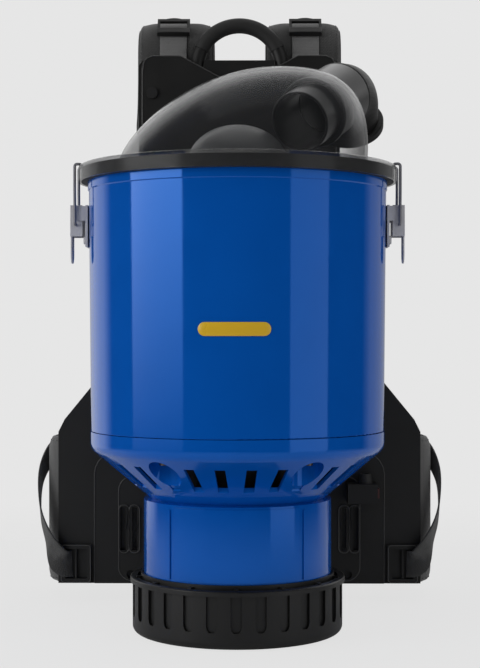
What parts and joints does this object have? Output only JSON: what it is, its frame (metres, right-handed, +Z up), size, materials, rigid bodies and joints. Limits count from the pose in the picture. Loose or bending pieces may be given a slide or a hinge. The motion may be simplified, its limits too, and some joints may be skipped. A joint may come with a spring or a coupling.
{
  "type": "backpack vacuum cleaner",
  "caption": "Backpack vacuum cleaner with a blue canister, clear domed lid, swivelling hose inlet, vented motor housing and padded carrying harness.",
  "frame": {"origin": "centre of the base ring's underside, on the canister's axis", "axes": "+Z up along the canister's axis; -Y is the front, away from the wearer; +X is the right seen from the front"},
  "size_m": [0.3912, 0.3819, 0.5655],
  "materials": {
    "blue_gloss": "glossy",
    "black_ring": "satin",
    "black_plastic": "satin",
    "black_elbow": "satin, finely textured",
    "grey_tube": "satin",
    "clear": "clear, glossy",
    "rubber": "matt",
    "steel": "satin",
    "wire": "bright",
    "zinc": "zinc plated",
    "alloy": "as cast",
    "laminations": "stacked sheet",
    "copper": "bare",
    "carbon": "matt",
    "filter_cloth": "non-woven",
    "pale_cap": "satin",
    "foam": "open-cell foam",
    "black_fabric": "woven over foam",
    "black_webbing": "woven webbing",
    "grey_webbing": "woven webbing",
    "black_screws": "black oxide",
    "red_rocker": "glossy"
  },
  "bodies": {
    "vacuum": {"base_ring": "black_ring", "exhaust_foam": "foam", "motor_housing": "blue_gloss", "housing_screws": "zinc", "canister": "blue_gloss", "latch_brackets": "steel", "latch_pins": "steel", "latch_rivets": "steel", "cone_filter": "filter_cloth", "filter_cap": "pale_cap", "filter_seal": "rubber", "motor_gasket": "rubber", "fan_case": "black_screws", "guide_plate": "alloy", "stator_core": "laminations", "field_coils": "copper", "motor_frame": "alloy", "upper_bearing": "steel", "lower_bearing": "steel", "carbon_brushes": "carbon", "brush_holders": "copper", "motor_foam": "foam", "motor_foot": "rubber", "back_plate": "black_plastic", "yoke_cover": "black_plastic", "hip_plate": "black_plastic", "harness_bolts": "black_screws", "carry_handle": "black_plastic", "handle_grip": "rubber", "shoulder_pad_left": "black_fabric", "shoulder_pad_right": "black_fabric", "shoulder_webbing": "grey_webbing", "ladder_buckles": "black_plastic", "back_pad": "black_fabric", "hip_pad_left": "black_fabric", "hip_pad_right": "black_fabric", "hip_straps": "black_webbing", "hip_buckles": "black_plastic", "switch_box": "black_plastic", "cord_gland": "rubber", "waist_webbing": "black_webbing", "clasp_socket": "black_plastic", "clasp_plug": "black_plastic"},
    "lid": {"lid_dome": "clear", "lid_seal": "rubber", "inlet_pipe": "grey_tube", "inlet_collar": "grey_tube", "elbow_oring": "rubber"},
    "elbow": {"inlet_elbow": "black_elbow"},
    "lever_left": {"latch_lever_left": "steel"},
    "lever_right": {"latch_lever_right": "steel"},
    "bail_left": {"latch_bail_left": "wire"},
    "bail_right": {"latch_bail_right": "wire"},
    "rotor": {"motor_shaft": "steel", "armature": "laminations", "commutator": "copper", "impeller_lower": "alloy", "impeller_upper": "alloy"},
    "rocker": {"switch_rocker": "red_rocker"}
  },
  "joints": [
    {"name": "lid_lift", "type": "slide", "parent": "vacuum", "child": "lid", "axis": [0, 0, 1], "range_m": [0, 0.028]},
    {"name": "elbow_swivel", "type": "hinge", "parent": "lid", "child": "elbow", "pos_m": [0.09094, 0.0614, 0.47167], "axis": [0.4312, 0.8178, 0.3811], "continuous": true},
    {"name": "lever_left_open", "type": "hinge", "parent": "vacuum", "child": "lever_left", "pos_m": [-0.1386, 0, 0.3626], "axis": [0, 1, 0], "range_deg": [0, 130]},
    {"name": "bail_left_swing", "type": "hinge", "parent": "lever_left", "child": "bail_left", "pos_m": [-0.1392, 0, 0.35], "axis": [0, 1, 0], "range_deg": [-163, 0]},
    {"name": "lever_right_open", "type": "hinge", "parent": "vacuum", "child": "lever_right", "pos_m": [0.1386, 0, 0.3626], "axis": [0, -1, 0], "range_deg": [0, 130]},
    {"name": "bail_right_swing", "type": "hinge", "parent": "lever_right", "child": "bail_right", "pos_m": [0.1392, 0, 0.35], "axis": [0, -1, 0], "range_deg": [-163, 0]},
    {"name": "rotor_spin", "type": "hinge", "parent": "vacuum", "child": "rotor", "pos_m": [0, 0, 0.1], "axis": [0, 0, 1], "continuous": true},
    {"name": "rocker_tip", "type": "hinge", "parent": "vacuum", "child": "rocker", "pos_m": [0.1276, 0.1278, 0.10475], "axis": [0, 0, 1], "range_deg": [-8, 8]}
  ],
  "couplings": [
    {"joint": "lever_left_open", "follows": "lid_lift", "rad_per_m": 81},
    {"joint": "bail_left_swing", "follows": "lid_lift", "rad_per_m": -101.25},
    {"joint": "lever_right_open", "follows": "lid_lift", "rad_per_m": 81},
    {"joint": "bail_right_swing", "follows": "lid_lift", "rad_per_m": -101.25}
  ]
}
